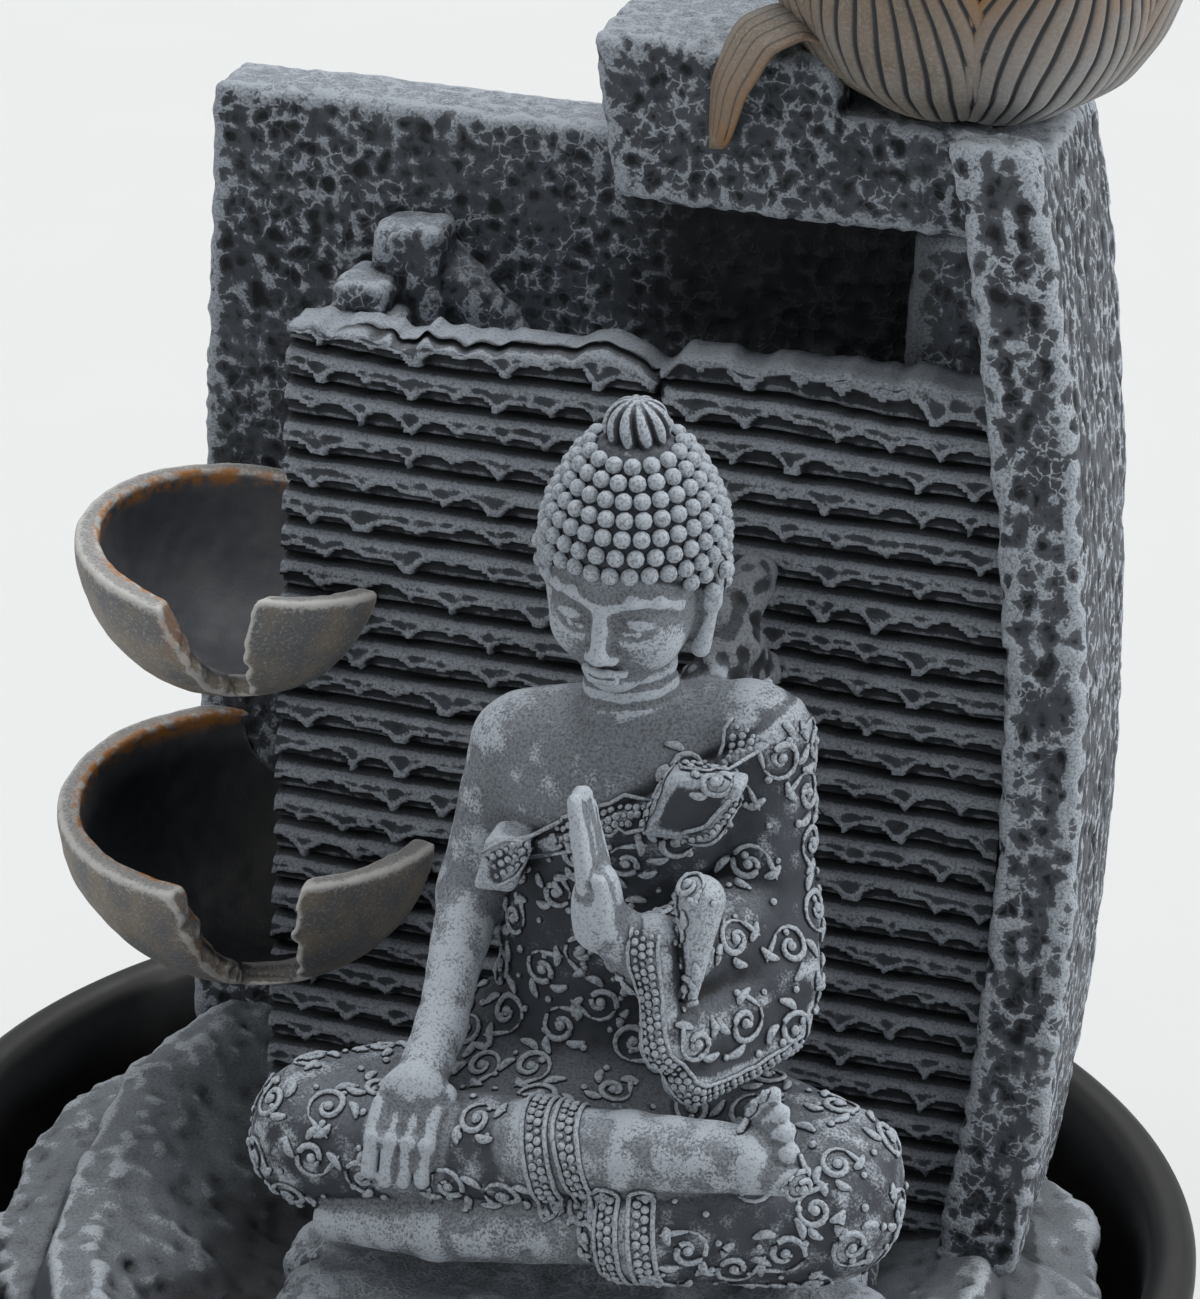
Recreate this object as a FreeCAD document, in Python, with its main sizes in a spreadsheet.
"""Tabletop water fountain, modelled in its own frame.

+Z is up, -Y is the front, the origin is the centre of the round basin on the surface that it stands on.
Lengths are millimetres. A black basin holds the water and a small submersible pump. The cast-stone
sculpture stands in the basin: a hollow rock base carries a rear slab, a curved side pillar, a lintel,
a ridged waterfall wall with a trough behind it, two stacked spill bowls, a seated figure and a lotus.
A hose climbs from the pump through the jamb into the lotus, which is where the water starts.
"""

import FreeCAD, Part
import math
import os

import Sketcher
from FreeCAD import Rotation, Vector

OUT = "parts"
doc = FreeCAD.newDocument("fountain")
made = []  # every finished sub-part, in the order it is built

# ---------------------------------------------------------------- driving dimensions
DIMS = {
    # basin
    "BasinRad": 105.0, "RimHeight": 62.0, "RimWidth": 5.5, "BasinWall": 2.4, "FloorTop": 4.5,
    "FootTop": 2.0, "FootRad": 8.0, "FootCircle": 70.0, "BasinFloorRad": 84.0, "NotchWidth": 9.0,
    "NotchDepth": 7.0,
    # rock base
    "BaseFootRad": 78.0, "BaseEdgeRad": 92.0, "BaseEdgeZ": 55.0, "BaseTop": 60.0, "BaseTopRad": 87.0,
    "BaseWall": 4.5,
    "CaveTop": 45.0, "PoolFloor": 50.0, "PoolLeft": -58.0, "PoolRight": 61.0, "PoolFront": -74.0,
    "PoolBack": 4.0,
    "InletWidth": 12.0, "InletHeight": 8.0,
    # rear slab and trough
    "SlabLeft": -73.5, "SlabFront": 34.0, "SlabBack": 50.0, "SlabTop": 229.0, "SlabCorner": 9.0,
    "RidgeLeft": -50.0, "RidgeFace": 5.0, "RidgeBack": 13.0, "RidgeTop": 204.0, "RidgePitch": 6.5,
    "RidgeDepth": 3.2,
    "TroughFloor": 193.0, "TroughWall": 4.0, "TroughInset": 3.0,
    # jamb, lintel and pillar
    "JambLeft": 44.5, "JambFront": 15.0, "LintelLeft": -6.5, "LintelFront": 12.0, "LintelBottom": 224.5,
    "LintelTop": 250.0, "SeatLeft": 27.0, "SeatTop": 241.0, "LintelLean": 5.0,
    "PillarFront": -4.0, "PillarTop": 244.0, "PillarLip": 9.0, "PillarThick": 13.0,
    "PillarTopX": 64.0, "PillarMidX": 79.5, "PillarMidZ": 145.0, "PillarFootX": 76.5,
    # hose run
    "HoseX": 52.0, "HoseY": 27.0, "ChannelRad": 5.0, "HoseOuter": 4.5, "HoseInner": 3.1, "HoseBend": 12.0,
    # bowls
    "UpperX": -58.5, "UpperY": 7.0, "UpperRad": 25.5, "UpperRim": 166.0, "UpperDeep": 25.0,
    "UpperNotchX": 4.5,
    "LowerX": -54.5, "LowerY": 7.0, "LowerRad": 32.0, "LowerRim": 120.0, "LowerDeep": 30.0,
    "LowerNotchX": 8.5,
    "BowlWall": 3.4, "UpperNotch": 20.0, "LowerNotch": 24.0, "UpperNotchHalf": 7.0, "LowerNotchHalf": 10.0,
    # lotus
    "LotusCupRad": 17.0, "LotusHeight": 44.0, "PetalLength": 44.0, "PetalHalf": 13.0, "PetalThick": 2.2,
    "LotusX": 49.5, "LotusY": 26.0, "DroopFront": 7.0, "DroopBack": 11.4,
    # figure
    "FigureX": 15.0, "FigureY": -40.0, "SeatRockTop": 72.0, "SeatRockLeft": -25.0, "SeatRockRight": 57.0,
    "SeatRockFront": -71.0, "SeatRockBack": 1.0,
    # pump: its shaft runs front to back, with the intake at the front
    "AxisZ": 22.0, "PumpX": 18.0, "ChamberFront": 21.0, "MotorFront": 33.0, "MotorBack": 63.0,
    "MotorHalf": 14.0,
    "MotorFoot": 8.0, "ChamberRad": 13.0, "ChamberBore": 11.0, "WellRad": 6.0, "WellBack": 59.0,
    "RotorRad": 5.2, "RotorFront": 35.0, "RotorBack": 56.5, "PinRad": 1.0, "PinSlack": 0.05,
    "BladeRad": 9.6, "BladeFront": 26.0, "HubRad": 3.6, "CoverThick": 1.8, "GrilleDepth": 4.6, "EyeRad": 5.0,
    "KnobRad": 4.2, "KnobDepth": 2.6, "NozzleBore": 2.0, "NozzleEnd": 40.0, "CupRad": 5.5,
}

sheet = doc.addObject("Spreadsheet::Sheet", "dims")
for row, (alias, number) in enumerate(DIMS.items(), start=1):
    sheet.set(f"A{row}", alias)
    sheet.set(f"B{row}", str(number))
    sheet.setAlias(f"B{row}", alias)
doc.recompute()


def cell(expression):
    """An expression on the sheet's aliases, written for setExpression."""
    for alias in sorted(DIMS, key=len, reverse=True):
        expression = expression.replace(f"<{alias}>", f"dims.{alias}")
    return expression


def value(expression):
    """The same expression as a number, read from the sheet."""
    for alias in sorted(DIMS, key=len, reverse=True):
        expression = expression.replace(f"<{alias}>", f"({float(sheet.get(alias))})")
    return as_number(expression)


def as_number(text):
    """Adds, subtracts, multiplies and divides a written-out expression, without running it as code."""
    unit = FreeCAD.Units.Quantity(text)
    return float(unit.Value)


# ---------------------------------------------------------------- small builders
def place(obj, base, axis=None, angle=0.0):
    """Binds an object's position to the sheet, and turns it."""
    if axis is not None:
        obj.Placement = FreeCAD.Placement(Vector(0, 0, 0), Rotation(Vector(*axis), angle))
    for letter, expression in zip("xyz", base):
        obj.setExpression(f"Placement.Base.{letter}", cell(expression))
    return obj


def box(name, low, size):
    obj = doc.addObject("Part::Box", name)
    for prop, expression in zip(("Length", "Width", "Height"), size):
        obj.setExpression(prop, cell(expression))
    return place(obj, low)


def span(name, x, y, z):
    """A box between two bounds on each axis."""
    low = (x[0], y[0], z[0])
    size = [f"{b} - ({a})" for a, b in (x, y, z)]
    return box(name, low, size)


def cylinder(name, base, radius, height, axis=None, angle=0.0):
    obj = doc.addObject("Part::Cylinder", name)
    obj.setExpression("Radius", cell(radius))
    obj.setExpression("Height", cell(height))
    return place(obj, base, axis, angle)


def on_shaft(name, front, back, radius):
    """A cylinder on the pump's shaft line, from one Y to another."""
    return cylinder(name, ("<PumpX>", front, "<AxisZ>"), radius, f"{back} - ({front})", (1, 0, 0), -90)


def cut(name, base, tool):
    obj = doc.addObject("Part::Cut", name)
    obj.Base, obj.Tool = base, tool
    return obj


def fuse(name, shapes):
    obj = doc.addObject("Part::MultiFuse", name)
    obj.Shapes = shapes
    obj.Refine = True
    return obj


def joined(name, shapes):
    """Fuses rounded shapes one by one, which holds where one operation on all of them does not."""
    grown = shapes[0]
    for k, shape in enumerate(shapes[1:]):
        step = doc.addObject("Part::Fuse", name if k == len(shapes) - 2 else f"{name}_{k}")
        step.Base, step.Tool = grown, shape
        grown = step
    return grown


def common(name, shapes):
    obj = doc.addObject("Part::MultiCommon", name)
    obj.Shapes = shapes
    return obj


def finish(obj, label):
    """Names a finished sub-part; the label is its node and its file."""
    obj.Label = label
    made.append(obj)
    return obj


def origin_plane(body, role):
    return next(f for f in body.Origin.OriginFeatures if f.Role == role)


def outline(body, name, role, points):
    """A closed sketch through points given as pairs of sheet expressions, each bound to the sheet."""
    sketch = body.newObject("Sketcher::SketchObject", name)
    sketch.AttachmentSupport = [(origin_plane(body, role), "")]
    sketch.MapMode = "FlatFace"
    where = [Vector(value(a), value(b), 0) for a, b in points]
    for start, end in zip(where, where[1:] + where[:1]):
        sketch.addGeometry(Part.LineSegment(start, end), False)
    count = len(where)
    for i in range(count):
        sketch.addConstraint(Sketcher.Constraint("Coincident", i, 2, (i + 1) % count, 1))
    for i, (point, pair) in enumerate(zip(where, points)):
        for kind, axis, number, expression in (("DistanceX", -2, point.x, pair[0]),
                                               ("DistanceY", -1, point.y, pair[1])):
            if abs(number) < 1e-9:
                sketch.addConstraint(Sketcher.Constraint("PointOnObject", i, 1, axis))
                continue
            index = sketch.addConstraint(Sketcher.Constraint(kind, -1, 1, i, 1, number))
            sketch.setExpression(f"Constraints[{index}]", cell(expression))
    return sketch


def revolved(label, points):
    """A body turned about Z from a half section given as (radius, height)."""
    body = doc.addObject("PartDesign::Body", label + "_body")
    sketch = outline(body, label + "_section", "XZ_Plane", points)
    turn = body.newObject("PartDesign::Revolution", label + "_turn")
    turn.Profile = sketch
    turn.ReferenceAxis = (sketch, ["V_Axis"])
    turn.Angle = 360
    return body


def padded(label, role, points, length, reverse=False):
    """A body pushed out of a sketch on one of its own origin planes."""
    body = doc.addObject("PartDesign::Body", label + "_body")
    sketch = outline(body, label + "_section", role, points)
    pad = body.newObject("PartDesign::Pad", label + "_pad")
    pad.Profile = sketch
    pad.setExpression("Length", cell(length))
    pad.Reversed = reverse
    return body


# ---------------------------------------------------------------- basin and its feet
def build_basin():
    shell = revolved("basin", [
        ("0", "<FootTop>"), ("<BasinFloorRad>", "<FootTop>"), ("<BasinFloorRad> + 12", "<FootTop> + 14"),
        ("<BasinRad> - <RimWidth> + 0.4", "<RimHeight> - 18"), ("<BasinRad> - 1.6", "<RimHeight> - 7"),
        ("<BasinRad>", "<RimHeight> - 4.5"), ("<BasinRad>", "<RimHeight> - 1.6"),
        ("<BasinRad> - 1.8", "<RimHeight>"),
        ("<BasinRad> - <RimWidth> + 1.4", "<RimHeight>"), ("<BasinRad> - <RimWidth>", "<RimHeight> - 1.6"),
        ("<BasinRad> - <RimWidth> - <BasinWall> + 0.6", "<RimHeight> - 18"),
        ("<BasinFloorRad> + 11.5 - <BasinWall>", "<FootTop> + 15"),
        ("<BasinFloorRad> - 1.5", "<FloorTop>"), ("0", "<FloorTop>"),
    ])
    notch = span("cable_notch", ("-<NotchWidth>/2", "<NotchWidth>/2"), ("<BasinRad> - 14", "<BasinRad> + 2"),
                 ("<RimHeight> - <NotchDepth>", "<RimHeight> + 1"))
    finish(cut("basin_cut", shell, notch), "basin")
    pads = []
    for k in range(4):
        turn = f"{45 + 90 * k} deg"
        spot = (f"<FootCircle>*cos({turn})", f"<FootCircle>*sin({turn})", "0")
        pads.append(cylinder(f"foot_pad_{k}", spot, "<FootRad>", "<FootTop>"))
    finish(fuse("feet", pads), "basin_feet")


# ---------------------------------------------------------------- hollow rock base
def build_base():
    outer = revolved("base_outer", [
        ("0", "<FloorTop>"), ("<BaseFootRad>", "<FloorTop>"), ("<BaseEdgeRad>", "<BaseEdgeZ>"),
        ("<BaseTopRad>", "<BaseTop>"), ("0", "<BaseTop>"),
    ])
    cave = revolved("base_cave", [
        ("0", "<FloorTop> - 1"), ("<BaseFootRad> - <BaseWall>", "<FloorTop> - 1"),
        ("<BaseEdgeRad> - <BaseWall> - 5", "<CaveTop> - 6"),
        ("<BaseEdgeRad> - <BaseWall> - 12", "<CaveTop>"), ("0", "<CaveTop>"),
    ])
    pool = padded("pool", "XY_Plane", [
        ("<PoolLeft>", "<PoolBack>"), ("<PoolLeft> - 2", "-40"), ("<PoolLeft> + 16", "-62"),
        ("-20", "<PoolFront>"), ("38", "<PoolFront>"),
        ("<PoolRight> - 6", "-62"), ("<PoolRight>", "-40"), ("<PoolRight>", "<PoolBack>"),
    ], "40")
    place(pool, ("0", "0", "<PoolFloor>"))
    bank_left = padded("bank_left", "XY_Plane", [
        ("-74", "30"), ("-78", "-8"), ("-79", "-30"), ("-72", "-46"), ("-62", "-34"), ("-58", "-6"),
        ("-58", "30"),
    ], "12")
    place(bank_left, ("0", "0", "<BaseTop> - 6"))
    bank_right = padded("bank_right", "XY_Plane", [
        ("62", "-4"), ("62", "-30"), ("58", "-46"), ("67", "-52"), ("76", "-34"), ("78", "-4"),
    ], "12")
    place(bank_right, ("0", "0", "<BaseTop> - 5"))
    inlets = []
    for k in range(6):
        turn = 30 + 60 * k
        slot = box(f"inlet_{k}", ("0", "0", "<FloorTop> - 1"),
                   ("<BaseEdgeRad> + 5", "<InletWidth>", "<InletHeight> + 1"))
        slot.Placement = FreeCAD.Placement(Vector(0, 0, 0), Rotation(Vector(0, 0, 1), turn))
        slot.setExpression("Placement.Base.x", cell(f"<InletWidth>/2*sin({turn} deg)"))
        slot.setExpression("Placement.Base.y", cell(f"-<InletWidth>/2*cos({turn} deg)"))
        slot.setExpression("Placement.Base.z", cell("<FloorTop> - 1"))
        inlets.append(slot)
    riser = cylinder("riser_hole", ("<HoseX>", "<HoseY>", "<CaveTop> - 4"), "<ChannelRad>", "30")
    drains = [cylinder(f"drain_{k}", (at_x, at_y, "<CaveTop> - 1"), "3", "<PoolFloor> - <CaveTop> + 2")
              for k, (at_x, at_y) in enumerate((("-46", "-24"), ("-38", "-46"), ("-46", "-6")))]
    body = cut("base_pool", fuse("base_solid", [outer, bank_left, bank_right]), pool)
    body = cut("base_hollow", body, cave)
    body = cut("base_bored", body, fuse("base_openings", inlets + drains + [riser]))
    finish(body, "rock_base")

    rock = padded("seat_rock", "XY_Plane", [
        ("<SeatRockLeft>", "-6"), ("<SeatRockLeft> - 3", "-34"), ("<SeatRockLeft> + 4", "-58"),
        ("-8", "<SeatRockFront>"), ("36", "<SeatRockFront>"),
        ("<SeatRockRight> - 5", "-58"), ("<SeatRockRight>", "-34"), ("<SeatRockRight> - 2", "<SeatRockBack>"),
        ("<SeatRockLeft> + 8", "<SeatRockBack>"),
    ], "<SeatRockTop> - <PoolFloor>")
    place(rock, ("0", "0", "<PoolFloor>"))
    finish(rock, "seat_rock")


# ---------------------------------------------------------------- standing stonework
def build_pillar():
    """The side pillar, one arc in front view. Returns all that lies beyond its inner face."""
    z0, z1, z2 = value("<BaseTop>"), value("<PillarMidZ>"), value("<PillarTop>")
    x0, x1, x2 = value("<PillarFootX>"), value("<PillarMidX>"), value("<PillarTopX>")
    thick, front, back = value("<PillarThick>"), value("<PillarFront>"), value("<SlabBack>")
    outer = Part.Arc(Vector(x0, front, z0), Vector(x1, front, z1), Vector(x2, front, z2)).toShape()
    inner = Part.Arc(Vector(x2 - thick, front, z2), Vector(x1 - thick, front, z1),
                     Vector(x0 - thick, front, z0)).toShape()
    top = Part.makeLine(Vector(x2, front, z2), Vector(x2 - thick, front, z2))
    foot = Part.makeLine(Vector(x0 - thick, front, z0), Vector(x0, front, z0))
    blank = doc.addObject("Part::Feature", "pillar_blank")
    blank.Shape = Part.Face(Part.Wire([outer, top, inner, foot])).extrude(Vector(0, back - front, 0))
    far = x1 + 40
    edge = [Vector(x0 - thick, front, z0), Vector(far, front, z0), Vector(far, front, z2),
            Vector(x2 - thick, front, z2)]
    sides = [Part.makeLine(a, b) for a, b in zip(edge, edge[1:])]
    beyond = doc.addObject("Part::Feature", "beyond_pillar")
    beyond.Shape = Part.Face(Part.Wire(sides + [inner])).extrude(Vector(0, back - front + 2, 0))
    corner = padded("pillar_corner", "XY_Plane", [
        ("<PillarMidX> + 4", "<SlabBack> - 13"), ("<PillarMidX> + 4", "<SlabBack> + 1"),
        ("<PillarMidX> - 10", "<SlabBack> + 1"),
    ], "260")
    seat = span("pillar_seat", ("40", "90"), ("<PillarFront> + <PillarLip>", "<SlabBack> + 1"),
                ("<SeatTop>", "<PillarTop> + 5"))
    channel = cylinder("pillar_channel", ("<HoseX>", "<HoseY>", "<BaseTop> - 5"), "<ChannelRad>", "240")
    shape = cut("pillar_trimmed", cut("pillar_cornered", blank, corner),
                fuse("pillar_tools", [seat, channel]))
    finish(shape, "right_pillar")
    return beyond


def build_wall(beyond):
    slab = padded("rear_slab", "XY_Plane", [
        ("<SlabLeft>", "<SlabFront>"), ("<SlabLeft>", "<SlabBack> - <SlabCorner>"),
        ("<SlabLeft> + <SlabCorner>", "<SlabBack>"),
        ("<JambLeft>", "<SlabBack>"), ("<JambLeft>", "<SlabFront>"),
    ], "<SlabTop> - <BaseTop>")
    place(slab, ("0", "0", "<BaseTop>"))
    finish(slab, "rear_slab")

    jamb = span("jamb_blank", ("<JambLeft>", "<PillarMidX>"), ("<JambFront>", "<SlabBack>"),
                ("<BaseTop>", "<LintelBottom>"))
    channel = cylinder("jamb_channel", ("<HoseX>", "<HoseY>", "<BaseTop> - 5"), "<ChannelRad>", "240")
    finish(cut("jamb_cut", cut("jamb_inside", jamb, beyond), channel), "hose_jamb")

    front = padded("lintel_front", "XZ_Plane", [
        ("<LintelLeft> + <LintelLean>", "<LintelBottom>"), ("<PillarTopX>", "<LintelBottom>"),
        ("<PillarTopX>", "<SeatTop>"),
        ("<SeatLeft>", "<SeatTop>"), ("<SeatLeft>", "<LintelTop>"), ("<LintelLeft>", "<LintelTop>"),
    ], "<SlabBack> - <LintelFront>")
    place(front, ("0", "<SlabBack>", "0"))
    under = span("lintel_under", ("-80", "<JambLeft>"), ("<SlabFront>", "<SlabBack> + 1"),
                 ("200", "<SlabTop>"))
    bore = cylinder("lintel_channel", ("<HoseX>", "<HoseY>", "<LintelBottom> - 5"), "<ChannelRad>", "30")
    lintel = cut("lintel_seated", cut("lintel_inside", front, beyond), fuse("lintel_tools", [under, bore]))
    finish(lintel, "lintel_block")


def build_waterfall(beyond):
    """The ridged sheet is a stack of ledges, each leaning out to a lower lip."""
    top, pitch, deep = value("<RidgeTop>"), value("<RidgePitch>"), "<RidgeDepth>"
    count = int((top - value("<BaseTop>")) // pitch)
    points = [("<RidgeBack>", "<BaseTop>"), ("<RidgeBack>", "<RidgeTop>")]
    for k in range(count):
        points.append(("<RidgeFace>", f"<RidgeTop> - {k}*<RidgePitch>"))
        points.append((f"<RidgeFace> - {deep}", f"<RidgeTop> - {k}*<RidgePitch> - 4.4"))
        points.append(("<RidgeFace>", f"<RidgeTop> - {k}*<RidgePitch> - 5.6"))
    points.append(("<RidgeFace>", "<BaseTop>"))
    sheet_body = padded("ridged", "YZ_Plane", points, "<PillarMidX> - <RidgeLeft>")
    place(sheet_body, ("<RidgeLeft>", "0", "0"))
    finish(cut("ridged_cut", sheet_body, beyond), "ridged_wall")

    block = span("trough_blank", ("<RidgeLeft> + <TroughInset>", "<JambLeft>"),
                 ("<RidgeBack>", "<SlabFront>"), ("<BaseTop>", "<TroughFloor>"))
    void = span("trough_void", ("<RidgeLeft> + <TroughInset> + <TroughWall>", "<JambLeft> - <TroughWall>"),
                ("<RidgeBack> + <TroughWall>", "<SlabFront> - <TroughWall>"),
                ("<BaseTop> - 1", "<TroughFloor> - <TroughWall>"))
    finish(cut("trough_cut", block, void), "trough_block")

    stones = [
        span("stone_low", ("-47", "-33"), ("15", "33.5"), ("<TroughFloor>", "<TroughFloor> + 8")),
        span("stone_mid", ("-46", "-36"), ("18", "33.5"), ("<TroughFloor> + 8", "<TroughFloor> + 13")),
        span("stone_top", ("-45", "-38"), ("22", "33.5"), ("<TroughFloor> + 13", "<TroughFloor> + 19")),
    ]
    finish(fuse("stones", stones), "spill_stones")


# ---------------------------------------------------------------- spill bowls
def build_bowl(label, side, tools):
    """A thick cup with a V-shaped pouring notch in its front, fitted round the wall's corner."""
    x, y, rad, rim, deep = (f"<{side}{part}>" for part in ("X", "Y", "Rad", "Rim", "Deep"))
    notch_deep, notch_half, notch_x = (f"<{side}{part}>" for part in ("Notch", "NotchHalf", "NotchX"))
    section = []
    steps = 9
    for k in range(steps + 1):
        share = math.sin(math.pi / 2 * k / steps), 1 - math.cos(math.pi / 2 * k / steps)
        section.append((f"{share[0]}*{rad}" if k else "0",
                        f"-{deep} + {share[1]}*{deep}" if k < steps else "0"))
    for k in range(steps, -1, -1):
        share = math.sin(math.pi / 2 * k / steps), 1 - math.cos(math.pi / 2 * k / steps)
        depth = f"-({deep} - <BowlWall>) + {share[1]}*({deep} - <BowlWall>)"
        section.append((f"{share[0]}*({rad} - <BowlWall>)" if k else "0", depth if k < steps else "0"))
    cup = revolved(label, section)
    place(cup, (x, y, rim))
    notch = padded(label + "_notch", "XZ_Plane", [
        (f"-{notch_half}", "1"), (f"-{notch_half}*0.75", f"-{notch_deep}*0.45"), ("-1.5", f"-{notch_deep}"),
        ("2.5", f"-{notch_deep}"), (f"{notch_half}*0.8", f"-{notch_deep}*0.4"), (f"{notch_half}", "1"),
    ], "60")
    place(notch, (f"{x} + {notch_x}", f"{y} - 8", rim))
    opened = cut(label + "_open", cup, notch)
    finish(cut(label + "_fitted", opened, tools), label)


def build_bowls():
    for label, side in (("upper_bowl", "Upper"), ("lower_bowl", "Lower")):
        sheet_box = span(label + "_at_sheet", ("<RidgeLeft>", "90"),
                         ("<RidgeFace> - <RidgeDepth>", "<RidgeBack>"), ("50", "240"))
        block_box = span(label + "_at_block", ("<RidgeLeft> + <TroughInset>", "90"), ("<RidgeBack>", "60"),
                         ("50", "240"))
        slab_box = span(label + "_at_slab", ("-120", "90"), ("<SlabFront>", "90"), ("50", "240"))
        tools = fuse(label + "_tools", [sheet_box, block_box, slab_box])
        build_bowl(label, side, tools)


# ---------------------------------------------------------------- seated figure
def limb(name, start, end, start_rad, end_rad):
    """A tapered rod with a ball at each end; its points are offsets from the figure's place on its seat."""
    run = Vector(*end) - Vector(*start)
    rod = doc.addObject("Part::Cone", name + "_rod")
    rod.Radius1, rod.Radius2, rod.Height = start_rad, end_rad, run.Length
    rod.Placement = FreeCAD.Placement(Vector(0, 0, 0), Rotation(Vector(0, 0, 1), run))
    place(rod, figure_point(start))
    balls = []
    for point, radius, end_name in ((start, start_rad, "near"), (end, end_rad, "far")):
        ball = doc.addObject("Part::Sphere", f"{name}_{end_name}")
        ball.Radius = radius * 1.03
        balls.append(place(ball, figure_point(point)))
    return [rod] + balls


def figure_point(offset):
    return tuple(f"<{base}> + ({step})" for base, step in zip(("FigureX", "FigureY", "SeatRockTop"), offset))


def build_figure():
    """Legs crossed, one hand on the knee and one raised: plain rounded limbs joined into one casting."""
    limbs = {
        "torso": ((0, 9, 16), (1, 9, 68), 18, 14),
        "shoulders": ((-14, 9, 78), (15, 9, 80), 9, 9),
        "right_thigh": ((-8, 4, 14), (-39, -9, 11), 13.5, 11.5),
        "left_thigh": ((8, 4, 14), (40, -9, 12.5), 13.5, 12),
        "shins": ((-30, -21, 8), (32, -21, 8), 8.5, 8),
        "right_arm": ((-21, 9, 77), (-25, 5, 44), 6.5, 5.5),
        "right_forearm": ((-25, 5, 44), (-23, -17, 28), 5.4, 4.5),
        "right_hand": ((-23, -18, 27), (-22, -25, 16), 5.5, 4.5),
        "left_arm": ((21, 9, 78), (26, 5, 43), 7.5, 7),
        "left_sleeve": ((25, 4, 43), (11, -14, 51), 8, 6.5),
        "raised_hand": ((10, -15, 54), (6, -18, 82), 5.5, 4.5),
        "neck": ((1, 7, 80), (0, 5, 100), 7, 6.5),
        "head": ((0, 2, 102), (0, 5, 114), 9.5, 14),
        "topknot": ((0, 7, 122), (0, 8, 135.5), 11, 5.5),
        "right_ear": ((-12, 4, 113), (-11.5, 3, 101), 2.2, 1.8),
        "left_ear": ((12, 4, 113), (11.5, 3, 101), 2.2, 1.8),
        "brow": ((-5, -6.4, 113), (5, -6.4, 113), 2, 2),
        "nose": ((0, -7.6, 111.5), (0, -8.8, 106.5), 1.2, 1.8),
        "mouth": ((-2.5, -6.6, 101.5), (2.5, -6.6, 101.5), 1.4, 1.4),
    }
    parts = []
    for name, (start, end, start_rad, end_rad) in limbs.items():
        parts += limb(name, start, end, start_rad, end_rad)
    floor = span("figure_floor", ("-90", "110"), ("-110", "60"), ("20", "<SeatRockTop>"))
    finish(cut("figure_flat", joined("figure_parts", parts), floor), "seated_figure")


# ---------------------------------------------------------------- lotus, spout and hose
def petal(name, length, half, thick, lift, turn):
    """One petal: a leaf outline cut from a thin ball shell, lifted off the axis and turned round it."""
    radius = length * 0.72
    shell = Part.makeSphere(radius).cut(Part.makeSphere(radius - thick))
    tip, foot = Vector(0, 0, length), Vector(0, 0, 0)
    left = Part.Arc(foot, Vector(-half, 0, length * 0.52), tip).toShape()
    right = Part.Arc(tip, Vector(half, 0, length * 0.52), foot).toShape()
    leaf = Part.Face(Part.Wire([left, right])).extrude(Vector(0, -radius * 1.2, 0))
    shell.translate(Vector(0, 0, length * 0.62))
    shape = shell.common(leaf)
    shape.rotate(Vector(0, 0, 0), Vector(1, 0, 0), lift)
    shape.translate(Vector(0, 4.0, 0))
    shape.rotate(Vector(0, 0, 0), Vector(0, 0, 1), turn)
    return shape


def drooping_petal():
    """The one petal that has dropped over the front of the lintel, as a curved blade."""
    front, back, seat = value("<DroopFront>"), value("<DroopBack>"), value("<SeatTop>")
    edge = [(40, 1), (33, 3), (26, 4.5), (21, 2), (17, -3), (14, -6.5), (13, -2), (15, 4), (20, 9),
            (28, 10.5), (40, 9)]
    corners = [Vector(x, front, seat + up) for x, up in edge]
    return Part.Face(Part.makePolygon(corners + corners[:1])).extrude(Vector(0, back - front, 0))


def lotus_clearances():
    """What the flower has to clear: the seat, the lintel's high end, the pillar's lip and the hose."""
    seat, front = value("<SeatTop>"), value("<LintelFront>") - 0.4
    lip_top, lip_back = value("<PillarTop>"), value("<PillarFront> + <PillarLip>")
    hose = Vector(value("<HoseX>"), value("<HoseY>"), seat - 20)
    gap, far, below = 0.3, 60, 30
    step_size = far + value("<SeatLeft>") + gap, 100, value("<LintelTop>") - seat + below + gap
    lip_size = far, far + lip_back + gap, lip_top - seat + below + gap
    return [
        Part.makeBox(200, 100, below, Vector(-far, front, seat - below)),
        Part.makeBox(80, 100, below, Vector(41, -20, seat - below)),
        Part.makeBox(*step_size, Vector(-far, front, seat - below)),
        Part.makeBox(*lip_size, Vector(45, -far, seat - below)),
        Part.makeCylinder(value("<HoseInner>"), 40, hose),
    ]


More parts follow.
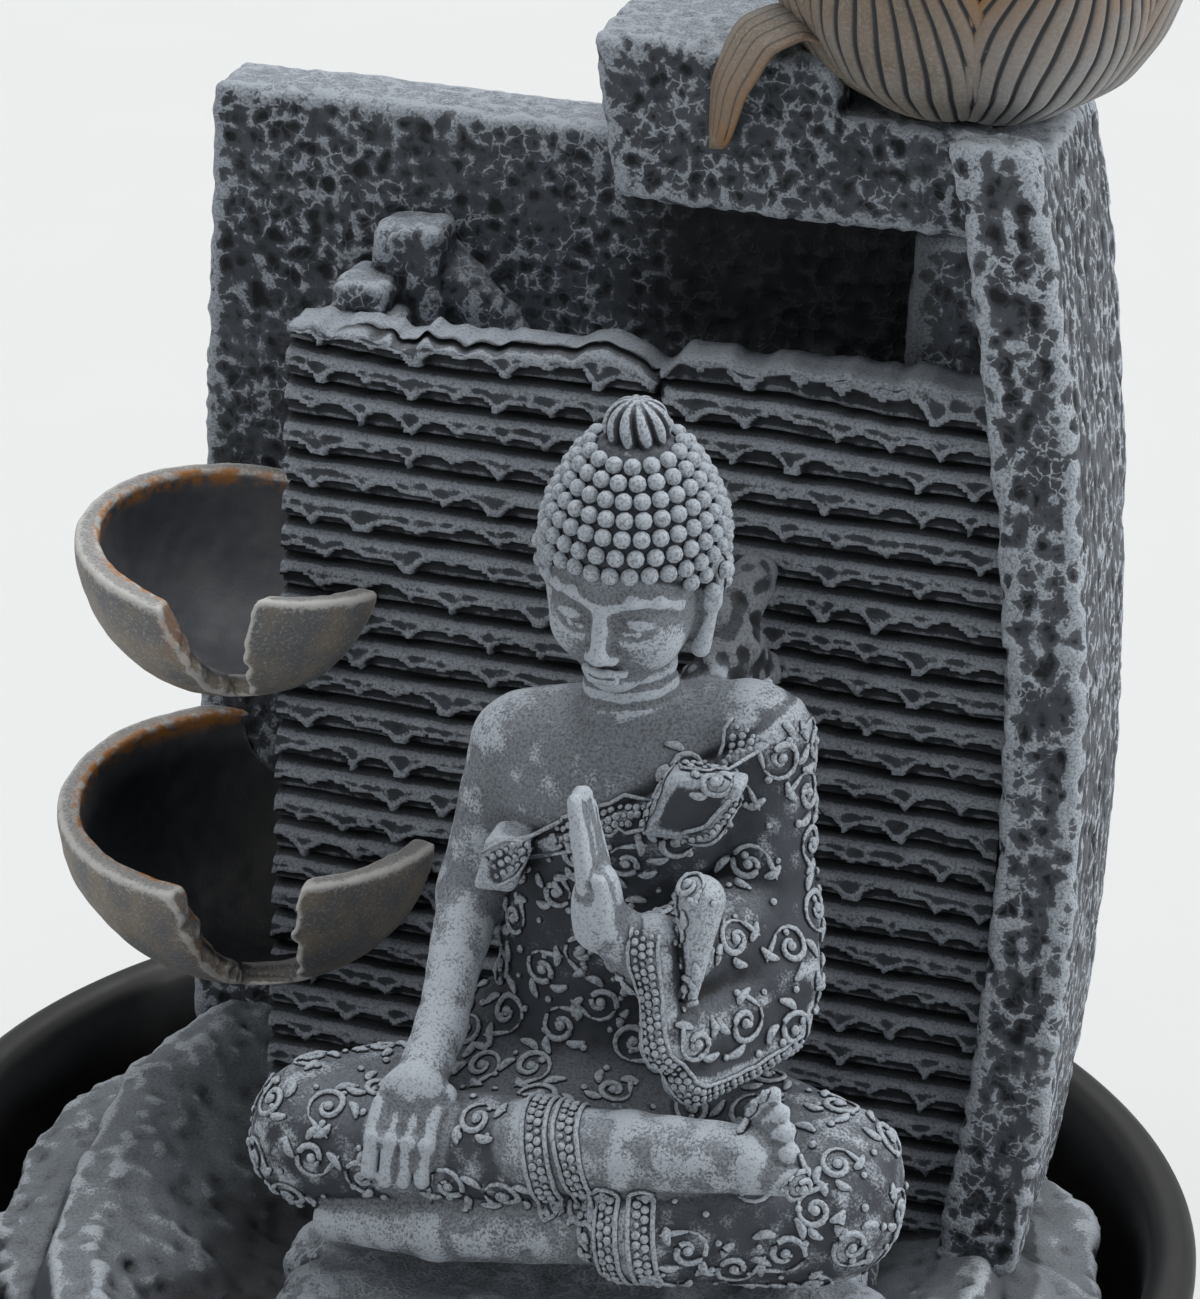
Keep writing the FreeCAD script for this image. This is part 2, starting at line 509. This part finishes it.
def build_lotus():
    length, half, thick = value("<PetalLength>"), value("<PetalHalf>"), value("<PetalThick>")
    cup_rad, height = value("<LotusCupRad>"), value("<LotusHeight>")
    outer = [Part.makeSphere(cup_rad, Vector(0, 0, cup_rad))]
    rings = ((8, 0.0, 34.0, 1.0), (8, 22.5, 12.0, 1.02))
    for count, start, lift, size in rings:
        for k in range(count):
            outer.append(petal("petal", length * size, half, thick, lift, start + 360.0 / count * k))
    flower = outer[0].multiFuse(outer[1:])
    drop = Vector(value("<LotusX>"), value("<LotusY>"), value("<SeatTop>") - 2.0)
    flower.translate(drop)
    flower = flower.fuse(drooping_petal())
    middle = drop + Vector(0, 0, cup_rad)
    hollow = Part.makeSphere(cup_rad - 3.0, middle)
    above = Part.makeCylinder(cup_rad - 5.0, height, middle)
    for solid in [hollow.fuse(above)] + lotus_clearances():
        flower = flower.cut(solid)
    lotus = doc.addObject("Part::Feature", "lotus")
    lotus.Shape = max(flower.Solids, key=lambda s: s.Volume)
    finish(lotus, "lotus_flower")

    here = ("<HoseX>", "<HoseY>")
    tube = cylinder("spout_tube", (*here, "<SeatTop> - 12"), "<HoseInner> - <PinSlack>", "26")
    flange = cylinder("spout_flange", (*here, "<SeatTop> + 2.4"), "6.0", "1.6")
    hole = cylinder("spout_bore", (*here, "<SeatTop> - 13"), "<NozzleBore>", "40")
    finish(cut("spout_open", fuse("spout_solid", [tube, flange]), hole), "spout_fitting")


def hose_run(name, radius, extra):
    """Out of the pump's nozzle, round one bend and up the channel, as a solid rod of the given radius."""
    level = cylinder(f"{name}_level", ("<PumpX> + <ChamberRad> + 2 - " + extra, "<HoseY>", "<AxisZ>"), radius,
                     f"<HoseX> - <HoseBend> - <PumpX> - <ChamberRad> - 2 + {extra}", (0, 1, 0), 90)
    bend = doc.addObject("Part::Torus", f"{name}_bend")
    bend.setExpression("Radius1", cell("<HoseBend>"))
    bend.setExpression("Radius2", cell(radius))
    bend.Angle3 = 90
    turn = Rotation(Vector(0, 0, -1), Vector(1, 0, 0), Vector(0, -1, 0), "XYZ")
    bend.Placement = FreeCAD.Placement(Vector(0, 0, 0), turn)
    place(bend, ("<HoseX> - <HoseBend>", "<HoseY>", "<AxisZ> + <HoseBend>"))
    climb = cylinder(f"{name}_climb", ("<HoseX>", "<HoseY>", "<AxisZ> + <HoseBend>"), radius,
                     f"<SeatTop> - 2 - <AxisZ> - <HoseBend> + {extra}")
    return fuse(f"{name}_run", [level, bend, climb])


def build_hose():
    finish(cut("hose_tube", hose_run("hose_outer", "<HoseOuter>", "0"),
               hose_run("hose_inner", "<HoseInner>", "1")), "riser_hose")


# ---------------------------------------------------------------- pump
def beside(name, low, high, front, back, half):
    """A flat block beside the shaft line, between two distances from it, from one Y to another."""
    return span(name, (f"<PumpX> + ({low})", f"<PumpX> + ({high})"), (front, back),
                (f"<AxisZ> - {half}", f"<AxisZ> + {half}"))


def build_pump_housing():
    motor = beside("motor_box", "-<MotorHalf>", "<MotorHalf>", "<MotorFront>", "<MotorBack>", "<MotorHalf>")
    chamber = on_shaft("chamber", "<ChamberFront>", "<MotorFront>", "<ChamberRad>")
    reach = ("<PumpX>", "<HoseY>", "<AxisZ>")
    nozzle = cylinder("nozzle", reach, "<HoseInner>", "<NozzleEnd> - <PumpX>", (0, 1, 0), 90)
    voids = [
        on_shaft("chamber_bore", "<ChamberFront> - 1", "<MotorFront>", "<ChamberBore>"),
        on_shaft("well", "<MotorFront> - 1", "<WellBack>", "<WellRad>"),
        cylinder("nozzle_bore", reach, "<NozzleBore>", "40", (0, 1, 0), 90),
        beside("core_room", "-11", "-7.5", "<MotorFront> + 4", "<MotorBack> - 4", "10"),
        beside("coil_room", "7.5", "12", "<MotorFront> + 6", "<MotorBack> - 6", "9"),
        cylinder("gland_hole", ("<PumpX>", "<MotorBack> - 3", "<AxisZ> + 9"), "2.4", "4", (1, 0, 0), -90),
    ]
    finish(cut("housing", fuse("housing_solid", [motor, chamber, nozzle]), fuse("housing_voids", voids)),
           "pump_housing")
    finish(beside("core", "-11", "-7.5", "<MotorFront> + 4", "<MotorBack> - 4", "10"), "stator_core")
    finish(beside("coil", "7.5", "12", "<MotorFront> + 6", "<MotorBack> - 6", "9"), "stator_coil")
    gland = fuse("gland_solid", [
        cylinder("gland_root", ("<PumpX>", "<MotorBack> - 3", "<AxisZ> + 9"), "2.4", "3", (1, 0, 0), -90),
        cylinder("gland_sleeve", ("<PumpX>", "<MotorBack>", "<AxisZ> + 9"), "3.0", "6", (1, 0, 0), -90),
    ])
    finish(gland, "cable_gland")
    cups = []
    for k, (across, along) in enumerate(((-9, "<MotorFront> + 6"), (9, "<MotorFront> + 6"),
                                         (-9, "<MotorBack> - 6"), (9, "<MotorBack> - 6"))):
        cone = doc.addObject("Part::Cone", f"cup_{k}")
        cone.Radius2 = 2.2
        cone.setExpression("Radius1", cell("<CupRad>"))
        cone.setExpression("Height", cell("<MotorFoot> - <FloorTop>"))
        cups.append(place(cone, (f"<PumpX> + ({across})", along, "<FloorTop>")))
    finish(fuse("cups", cups), "suction_cups")


def build_pump_rotor():
    rotor = on_shaft("rotor", "<RotorFront>", "<RotorBack>", "<RotorRad>")
    finish(cut("magnet", rotor, on_shaft("rotor_bore", "<ChamberFront>", "<MotorBack>",
                                         "<PinRad> + <PinSlack>")), "rotor_magnet")
    hub = on_shaft("hub", "<BladeFront>", "<RotorFront>", "<HubRad>")
    disc = on_shaft("disc", "<MotorFront> - 2.2", "<MotorFront> - 0.8", "<BladeRad>")
    blades = []
    for k in range(6):
        blade = box(f"blade_{k}", ("0", "0", "0"), ("1.2", "<MotorFront> - 2 - <BladeFront>", "<BladeRad>"))
        blades.append(place(blade, ("<PumpX>", "<BladeFront>", "<AxisZ>"), (0, 1, 0), 60 * k))
    inside = on_shaft("blade_round", "<ChamberFront>", "<MotorBack>", "<BladeRad>")
    wheel = common("wheel_round", [fuse("wheel_solid", [hub, disc] + blades), inside])
    finish(cut("wheel", wheel, on_shaft("wheel_bore", "<ChamberFront>", "<MotorBack>",
                                        "<PinRad> + <PinSlack>")), "impeller")
    finish(on_shaft("pin", "<ChamberFront> + 0.6", "<WellBack> - 0.6", "<PinRad>"), "impeller_shaft")
    rings = [
        on_shaft("bush_front", "<ChamberFront>", "<BladeFront> - 0.5", "2.6"),
        on_shaft("bush_back", "<RotorBack> + 0.5", "<WellBack>", "<WellRad>"),
    ]
    bore = on_shaft("bush_bore", "<ChamberFront> + 0.6", "<WellBack> - 0.6", "<PinRad>")
    finish(cut("bushes", fuse("bush_rings", rings), bore), "shaft_bushes")


def build_pump_front():
    """The fixed cover plate, then the pull-off intake cover with its foam and its flow knob."""
    seam, face = "<ChamberFront> - <CoverThick>", "<ChamberFront> - <CoverThick> - <GrilleDepth>"
    plate = cut("plate_eye", on_shaft("plate", seam, "<ChamberFront>", "<ChamberRad>"),
                on_shaft("eye", seam + " - 1", "<ChamberFront> + 1", "<EyeRad>"))
    spider = [
        span("spider_x", ("<PumpX> - <EyeRad> - 1", "<PumpX> + <EyeRad> + 1"), (seam, "<ChamberFront>"),
             ("<AxisZ> - 0.9", "<AxisZ> + 0.9")),
        span("spider_z", ("<PumpX> - 0.9", "<PumpX> + 0.9"), (seam, "<ChamberFront>"),
             ("<AxisZ> - <EyeRad> - 1", "<AxisZ> + <EyeRad> + 1")),
    ]
    finish(fuse("cover_plate", [plate] + spider), "impeller_cover")

    cap = cut("grille_cup", on_shaft("grille_outer", face, seam, "<ChamberRad>"),
              on_shaft("grille_inner", face + " + 1.4", seam + " + 1", "<ChamberRad> - 1.4"))
    slots = [
        span(f"slot_{k}", (f"<PumpX> - {half}", f"<PumpX> + {half}"), (face + " - 1", face + " + 2"),
             (f"<AxisZ> + ({up}) - 0.8", f"<AxisZ> + ({up}) + 0.8"))
        for k, (up, half) in enumerate(((-9, 5), (-6.6, 8), (6.6, 8), (9, 5)))
    ]
    knob_hole = on_shaft("knob_hole", face + " - 1", seam, "1.6")
    finish(cut("grille", cap, fuse("grille_tools", slots + [knob_hole])), "intake_cover")
    foam = on_shaft("foam_disc", face + " + 1.4", seam + " - 0.4", "<ChamberRad> - 1.6")
    finish(cut("foam", foam, on_shaft("foam_hole", face, seam, "2.8")), "filter_foam")
    knob = fuse("knob_solid", [
        on_shaft("knob_disc", f"{face} - <KnobDepth>", f"{face} - 0.2", "<KnobRad>"),
        on_shaft("knob_stem", f"{face} - 0.4", f"{face} + 2.6", "1.6 - <PinSlack>"),
        on_shaft("knob_collar", f"{face} + 1.7", f"{face} + 2.6", "2.4"),
        span("knob_pointer", ("<PumpX> - 1", "<PumpX> + 1"), (f"{face} - 1.4", f"{face} - 0.3"),
             ("<AxisZ>", "<AxisZ> + <KnobRad> + 1.4")),
    ])
    finish(knob, "flow_regulator")


# ---------------------------------------------------------------- check and write
def check_document():
    failed = [o.Name for o in doc.Objects if "Invalid" in o.State or "Error" in o.State]
    if failed:
        raise SystemExit(f"these objects failed: {failed}")
    for obj in made:
        shape = obj.Shape
        if shape.isNull() or not shape.isValid() or not shape.Solids:
            raise SystemExit(f"{obj.Label} has no valid solid")
        if any(s.Volume <= 0 for s in shape.Solids):
            raise SystemExit(f"{obj.Label} has a solid with no volume")


def write_parts():
    os.makedirs(OUT, exist_ok=True)
    for old in os.listdir(OUT):
        if old.endswith(".step"):
            os.remove(os.path.join(OUT, old))
    for obj in made:
        solids = obj.Shape.Solids
        shape = solids[0] if len(solids) == 1 else Part.makeCompound(solids)
        shape.exportStep(os.path.join(OUT, obj.Label + ".step"))
        print(f"{obj.Label}: {len(solids)} solids, {obj.Shape.Volume / 1000:.1f} cm3")


build_basin()
build_base()
beyond_pillar = build_pillar()
build_wall(beyond_pillar)
build_waterfall(beyond_pillar)
build_bowls()
build_figure()
build_lotus()
build_hose()
build_pump_housing()
build_pump_rotor()
build_pump_front()
doc.recompute()
check_document()
write_parts()
